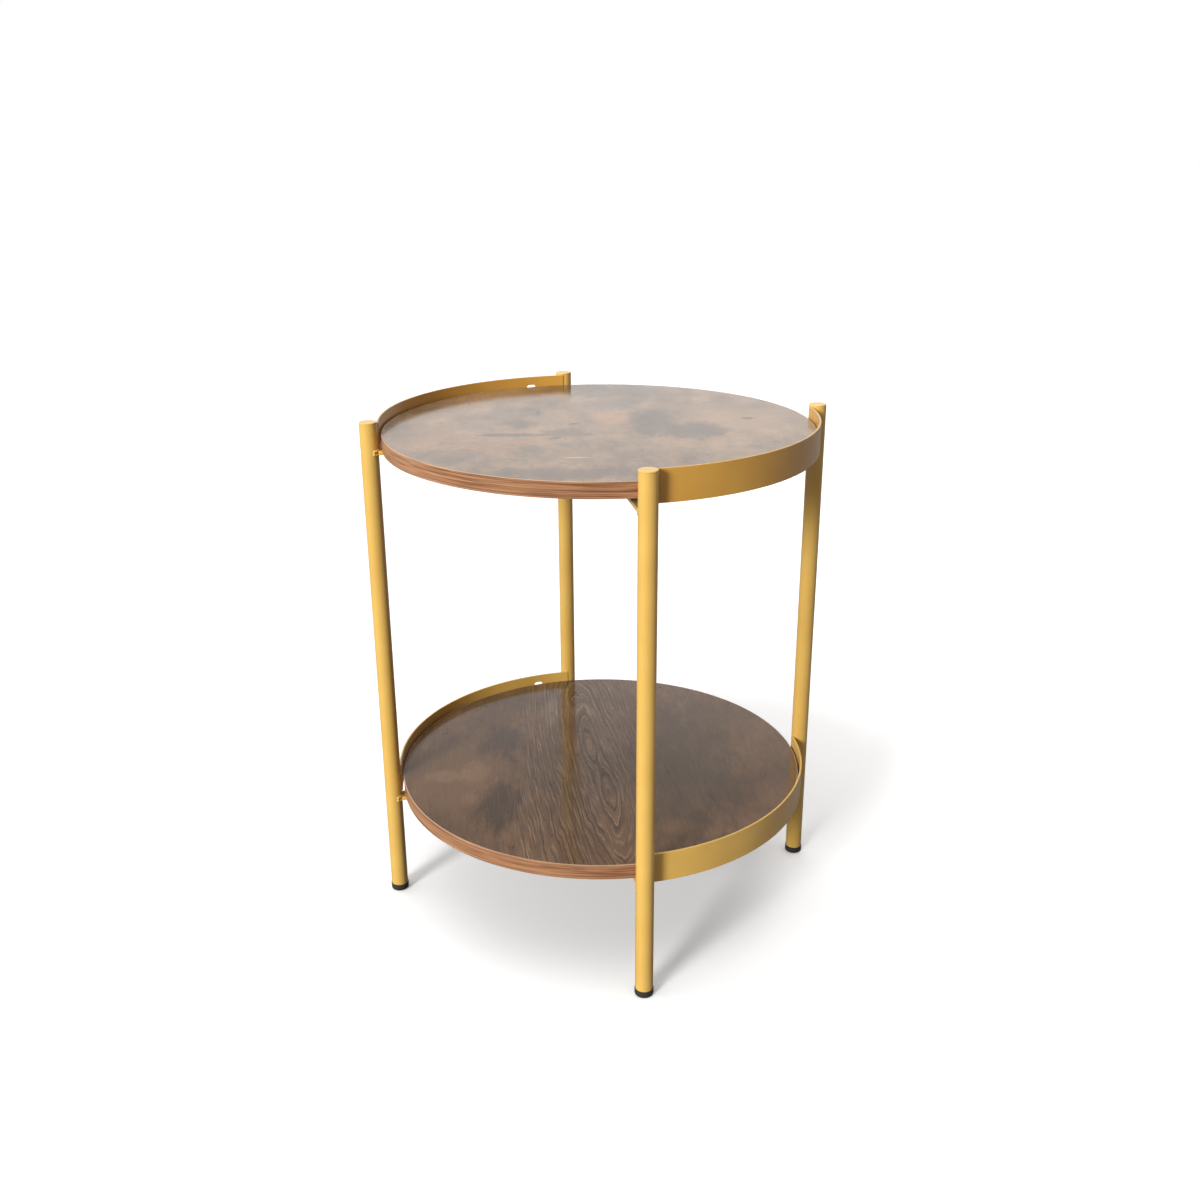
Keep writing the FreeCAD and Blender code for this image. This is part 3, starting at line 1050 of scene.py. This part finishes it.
@dataclass
class CrossBar:
    """Flat bar under a board from one leg to the opposite one, with a weld bead at each end."""

    tier: Tier
    role: Role
    width: float = 16.0 * MM
    edge_round: float = 0.5 * MM
    sunk: float = 0.5 * MM
    bead_radius: float = 1.4 * MM
    bead_pitch: float = 2.8 * MM
    bead_cuts: int = 8
    bead_ripple: float = 0.12
    bead_sides: int = 14
    steps: int = 25

    def __post_init__(self) -> None:
        """Read the bar's direction and level from the frame."""
        self.name = f"{self.tier.word}_{self.role.value}_bar"
        low, high = node_box(self.name)
        self.middle = (low[2] + high[2]) / 2
        self.section = rounded_rectangle(self.width, high[2] - low[2], self.edge_round)
        rising = (self.tier is Tier.UPPER) == (self.role is Role.CARRIER)
        self.ends = (
            (Corner.FRONT_LEFT, Corner.BACK_RIGHT) if rising else (Corner.FRONT_RIGHT, Corner.BACK_LEFT)
        )
        self.leg_radius = node_radius(f"{self.ends[0].value}_leg")

    def flat(self) -> Mesh:
        """Rounded flat section carried straight from leg to leg.

        Returns:
            The mesh.
        """
        first, last = (leg_centre(corner) for corner in self.ends)
        along = (last - first) / np.linalg.norm(last - first)
        inset = self.leg_radius - self.sunk
        shares = np.linspace(0.0, 1.0, self.steps)[:, None]
        path = np.empty((self.steps, 3))
        path[:, :2] = (first + inset * along) * (1 - shares) + (last - inset * along) * shares
        path[:, 2] = self.middle
        side = np.array((-along[1], along[0], 0.0))
        return surface_mesh(f"{self.name}_straight", carried(self.section, path, side, UP), ends=True)

    def bead(self, corner: Corner) -> Mesh:
        """Weld bead: a circle of rippled radius carried round the bar's outline on the leg's round.

        An outline point at v across the bar and h above its middle lies on the leg at its centre plus
        sqrt(r^2 - v^2) inward, v sideways and h up. The bead's radius is its mean times one plus ripple times
        the sine of the way round.

        Args:
            corner: leg that the bar meets.

        Returns:
            Closed ring.
        """
        across, rise = split_runs(self.section, self.bead_pitch / self.bead_cuts).T
        centre = leg_centre(corner)
        inward = -centre / np.linalg.norm(centre)
        sideways = np.array((-inward[1], inward[0]))
        depth = np.sqrt(self.leg_radius**2 - across**2)
        flat_out = depth[:, None] * inward + across[:, None] * sideways
        path = np.column_stack((centre + flat_out, self.middle + rise))
        out = np.column_stack((flat_out / self.leg_radius, np.zeros(len(path))))
        tangent = np.roll(path, -1, axis=0) - np.roll(path, 1, axis=0)
        beside = np.cross(tangent, out)
        beside /= np.linalg.norm(beside, axis=1, keepdims=True)
        runs = np.linalg.norm(np.roll(path, -1, axis=0) - path, axis=1)
        way = np.cumsum(runs) / runs.sum() * round(runs.sum() / self.bead_pitch)
        radius = self.bead_radius * (1 + self.bead_ripple * np.sin(TURN * way))
        angles = np.arange(self.bead_sides) * TURN / self.bead_sides
        circle = np.column_stack((np.cos(angles), np.sin(angles)))
        grid = carried(radius[:, None, None] * circle, path, beside, out)
        return surface_mesh(f"{self.name}_{corner.value}_bead", grid, wrap_rows=True)

    def dress(self, gold: Material) -> None:
        """Make the bar and its beads as one piece, in place of its node."""
        shells = [self.flat(), *(self.bead(corner) for corner in self.ends)]
        place_piece(joined(f"{self.name}_flat", shells), gold, self.name)


@dataclass
class Fasteners:
    """Screws and sleeves that hold one tier's board to its bars, in their CAD shapes."""

    tier: Tier

    def dress(self, steel: Material, nylon: Material) -> None:
        """Give each node its finish.

        Args:
            steel: finish of the screws.
            nylon: finish of the sleeves.
        """
        for word, finish in (("carrier_screws", steel), ("tie_screws", steel), ("tie_spacers", nylon)):
            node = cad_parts[f"{self.tier.word}_{word}"]
            for held in node.material_slots:
                held.material = finish
            log.info("%s: finish only", node.name)


# Studio.


@dataclass
class Studio:
    """Pale floor, soft light from the camera's left, a bright ceiling, and the photograph's camera.

    Directions are given as the camera heads: x to its right, y away from it, z up.
    """

    turn: float = 35.2
    camera_place: Triple = (0.0, -1.2997, 0.8289)
    pitch: float = 20.562
    yaw: float = 0.007
    roll: float = -0.311
    lens: float = 37.87
    sensor: float = 36.0
    clip_end: float = 100.0
    key_left: float = 35.0
    key_height: float = 19.0
    key_strength: float = 3.6
    key_softness: float = 17.0
    bright_side: Triple = (-1.0, -0.1, 0.0)
    bright_wall: str = WHITE
    dim_wall: str = "#574D43"
    wall_fade: Pair = (-0.1, 0.95)
    ceiling: float = 2.2
    ceiling_fade: Pair = (0.74, 0.95)
    backdrop_side: Triple = (0.0, 1.0, 0.0)
    backdrop_fade: Pair = (0.5, 0.85)
    backdrop_top: Pair = (0.66, 0.28)
    mirror_share: float = 0.15
    paper: str = "#F8F8F8"
    paper_roughness: float = 0.9
    paper_glow: float = 0.13
    paper_bounce: str = "#564C42"
    floor_size: float = 30.0

    def turned_in(self, vector: Triple) -> Vector:
        """Vector from the camera's heading into the part's frame."""
        return Matrix.Rotation(np.radians(self.turn), 3, "Z") @ Vector(vector)

    def pointing(self, yaw: float, pitch: float, roll: float = 0.0) -> Matrix:
        """Turn of a camera or lamp, which look along their own -Z.

        Args:
            yaw: angle to the right of the camera's heading, in degrees.
            pitch: angle down from the level, in degrees.
            roll: angle that it leans to the left, in degrees.

        Returns:
            The turn, as a 4 by 4 matrix.
        """
        heading, tilt, lean = np.radians((self.turn - yaw, 90.0 - pitch, roll))
        level = Matrix.Rotation(heading, 4, "Z") @ Matrix.Rotation(tilt, 4, "X")
        return level @ Matrix.Rotation(lean, 4, "Z")

    def camera(self) -> None:
        """Camera from its place and its yaw, pitch and roll."""
        data = bpy.data.cameras.new("photo_camera")
        data.lens = self.lens
        data.sensor_width = self.sensor
        data.clip_end = self.clip_end
        camera = bpy.data.objects.new("photo_camera", data)
        bpy.context.collection.objects.link(camera)
        place = Matrix.Translation(self.turned_in(self.camera_place))
        camera.matrix_world = place @ self.pointing(self.yaw, self.pitch, self.roll)
        bpy.context.scene.camera = camera

    def key(self) -> None:
        """Soft key light, low at the camera's left, which the gloss of the boards doesn't mirror."""
        lamp = bpy.data.lights.new("key", "SUN")
        lamp.energy = self.key_strength
        lamp.angle = np.radians(self.key_softness)
        key = bpy.data.objects.new("key", lamp)
        key.visible_glossy = False
        bpy.context.collection.objects.link(key)
        key.matrix_world = self.pointing(self.key_left, self.key_height)

    def world(self) -> None:
        """Room: white backdrop low behind the table, a bright ceiling, and walls that darken to the right.

        The camera sees plain white all round, and mirrored and refracted rays see some of it low all round.
        """
        world = bpy.data.worlds.new("studio")
        world.use_nodes = True
        bpy.context.scene.world = world
        world.node_tree.nodes.clear()
        add = partial(add_node, world.node_tree)
        heading = add("TexCoord").outputs["Generated"]
        height = add("SeparateXYZ", {"Vector": heading}).outputs["Z"]
        ahead, bright = (
            add("VectorMath", {0: heading, 1: self.turned_in(way)}, operation="DOT_PRODUCT").outputs["Value"]
            for way in (self.backdrop_side, self.bright_side)
        )
        toward, overhead, behind, low = (
            add("MapRange", {"Value": value, FROM: fade}, interpolation_type="SMOOTHSTEP")
            for value, fade in (
                (bright, self.wall_fade), (height, self.ceiling_fade),
                (ahead, self.backdrop_fade), (height, self.backdrop_top),
            )
        )
        walls = add("ValToRGB", {"Fac": toward}, stops={0.0: self.dim_wall, 1.0: self.bright_wall})
        glow = (self.ceiling, self.ceiling, self.ceiling, 1.0)
        room = add("Mix", {"Factor": overhead, "A": walls, "B": glow}, data_type="RGBA")
        rays = add("LightPath")
        around = add("Math", {0: behind, 1: self.mirrored(add, rays)}, operation="MAXIMUM")
        sheet = add("Math", {0: around, 1: low}, operation="MULTIPLY")
        seen = add("Mix", {"Factor": sheet, "A": room, "B": linear(WHITE)}, data_type="RGBA")
        lit, white = (add("Background", {"Color": colour}) for colour in (seen, linear(WHITE)))
        mixed = add("MixShader", {0: rays.outputs["Is Camera Ray"], 1: lit, 2: white})
        add("OutputWorld", {"Surface": mixed})

    def mirrored(self, add: AddNode, rays: Node) -> Node:
        """Share of white that rays off gloss or through glass meet, and 0 for other rays.

        Args:
            add: function that adds a node.
            rays: node that tells the kinds of rays apart.

        Returns:
            Node whose output is the share.
        """
        kinds = {0: rays.outputs["Is Glossy Ray"], 1: rays.outputs["Is Transmission Ray"]}
        either = add("Math", kinds, operation="MAXIMUM")
        return add("Math", {0: either, 1: self.mirror_share}, operation="MULTIPLY")

    def floor(self) -> None:
        """Pale paper floor that keeps the table's shadow, white to the camera and partly so in mirrors."""
        half = self.floor_size / 2
        mesh = bpy.data.meshes.new("floor")
        corners = np.array(((-half, -half, 0), (half, -half, 0), (half, half, 0), (-half, half, 0)))
        mesh.from_pydata(corners, [], [(0, 1, 2, 3)])
        material, add, shader = new_material("white_paper")
        feed(shader, {
            "Base Color": linear(self.paper), "Roughness": self.paper_roughness,
            "Emission Color": linear(WHITE), "Emission Strength": self.paper_glow,
        })
        grey = add("BsdfDiffuse", {"Color": linear(self.paper_bounce)})
        rays = add("LightPath")
        views = {0: rays.outputs["Is Camera Ray"], 1: self.mirrored(add, rays)}
        shown = add("Math", views, operation="MAXIMUM")
        mixed = add("MixShader", {0: shown, 1: grey, 2: shader})
        feed(material.node_tree.nodes["Material Output"], {"Surface": mixed})
        mesh.materials.append(material)
        floor = bpy.data.objects.new("floor", mesh)
        bpy.context.collection.objects.link(floor)

    def build(self) -> None:
        """Set up camera, light and floor, with colours shown as they are."""
        bpy.context.scene.view_settings.view_transform = "Standard"
        self.camera()
        self.key()
        self.world()
        self.floor()


SHELF_PRINT = PrintedOak(
    name="weathered_oak_melamine_shelf", grain_angle=125.2, dark="#53402F", body="#664C37", pale="#7A5C43",
    figure_middle=27.0, figure_half=64.0, figure_share=1.0, loops=((-73.0, -8.0), (38.0, 13.0)),
    line_colour="#1F150E", fibre_colour="#B4967B", scratch_share=0.5,
    stains=(
        Stain("#806245", -50, 165, 70, 50, 0.4),
        Stain("#937256", -39, 176, 16, 24, 0.5),
        Stain("#937256", -28, 143, 28, 17, 0.5),
        Stain("#8C6C50", -88, 142, 18, 13, 0.4),
        Stain("#45372D", 49, 116, 50, 30, 0.7),
        Stain("#3E2F23", -105, 108, 66, 28, 0.75),
        Stain("#4E4134", 0, -100, 190, 64, 0.65),
        Stain("#7A5C42", -153, -80, 17, 24, 0.5),
        Stain("#6E523E", 85, -175, 24, 36, 0.4),
        Stain("#9A8069", 125, 62, 50, 10, 0.4),
    ),
)
TOP_PRINT = PrintedOak(
    name="weathered_oak_melamine_top", grain_angle=35.2, dark="#594433", body="#846A51", pale="#A28163",
    figure_middle=-70.0, figure_half=40.0, figure_share=0.2, loops=((70.0, -80.0),), ragged_size=(24.0, 46.0),
    cloud_size=(90.0, 120.0),
    stains=(
        Stain("#AA8764", 150, 35, 66, 70, 0.5),
        Stain("#9A7450", -165, -60, 36, 66, 0.45),
        Stain("#5E5147", 25, 180, 80, 40, 0.6),
        Stain("#4E3F34", -10, -194, 110, 28, 0.65),
        Stain("#AA7F57", 15, 40, 26, 46, 0.75),
        Stain("#4A3A2F", 60, 32, 32, 56, 0.7),
        Stain("#4A3A2F", 88, -20, 52, 42, 0.7),
        Stain("#4A3A2F", -88, -43, 40, 9, 0.75),
        Stain("#9E6D45", -108, -98, 34, 16, 0.5),
        Stain("#9E6D45", -75, -72, 26, 10, 0.45),
        Stain("#BFA68B", -21, -137, 16, 2.4, 0.75),
        Stain("#4A3A2F", -80, 6, 16, 20, 0.55),
        Stain("#54443A", -36, -34, 26, 16, 0.5),
        Stain("#54463A", -66, -100, 14, 22, 0.5),
        Stain("#5A4C40", -142, -136, 40, 34, 0.5),
        Stain("#62564B", 17, 106, 34, 50, 0.45),
        Stain("#3A2A1E", 160, 30, 8, 7, 0.85),
        Stain("#3A2A1E", -66, 61, 2.4, 14, 0.85),
        Stain("#3A2A1E", -43, -57, 8, 3.4, 0.8, 30),
        Stain("#3A2A1E", -25, 8, 10, 3.4, 0.7, 20),
    ),
)


def main() -> None:
    """Build every sub-assembly and the studio."""
    logging.basicConfig(level=logging.INFO, format="%(message)s")
    gold = PowderCoat().material()
    # The upper bands are the same coat as the rest of the frame; this darker, more orange copy of it is
    # painted shade.
    shaded_gold = PowderCoat(name="gold_powder_coat_painted_shade", colour="#DBA74A", worn_colour="#D39D42").material()
    plastic = MouldedPlastic().material()
    nylon = MouldedPlastic(name="black_nylon", colour="#242322", pale_colour="#2E2D2C").material()
    steel = PlatedSteel().material()
    edge = EdgeBanding().material()
    for corner in Corner:
        Leg(corner).dress(gold, plastic)
    for tier, oak in ((Tier.UPPER, TOP_PRINT), (Tier.LOWER, SHELF_PRINT)):
        Board(tier).dress(oak.material(), edge)
        for side in Side:
            # Upper bands take the darker copy of the gold, which is painted shade.
            Band(tier, side).dress(shaded_gold if tier is Tier.UPPER else gold)
        for role in Role:
            CrossBar(tier, role).dress(gold)
        Fasteners(tier).dress(steel, nylon)
    Studio().build()


if __name__ == "__main__":
    main()
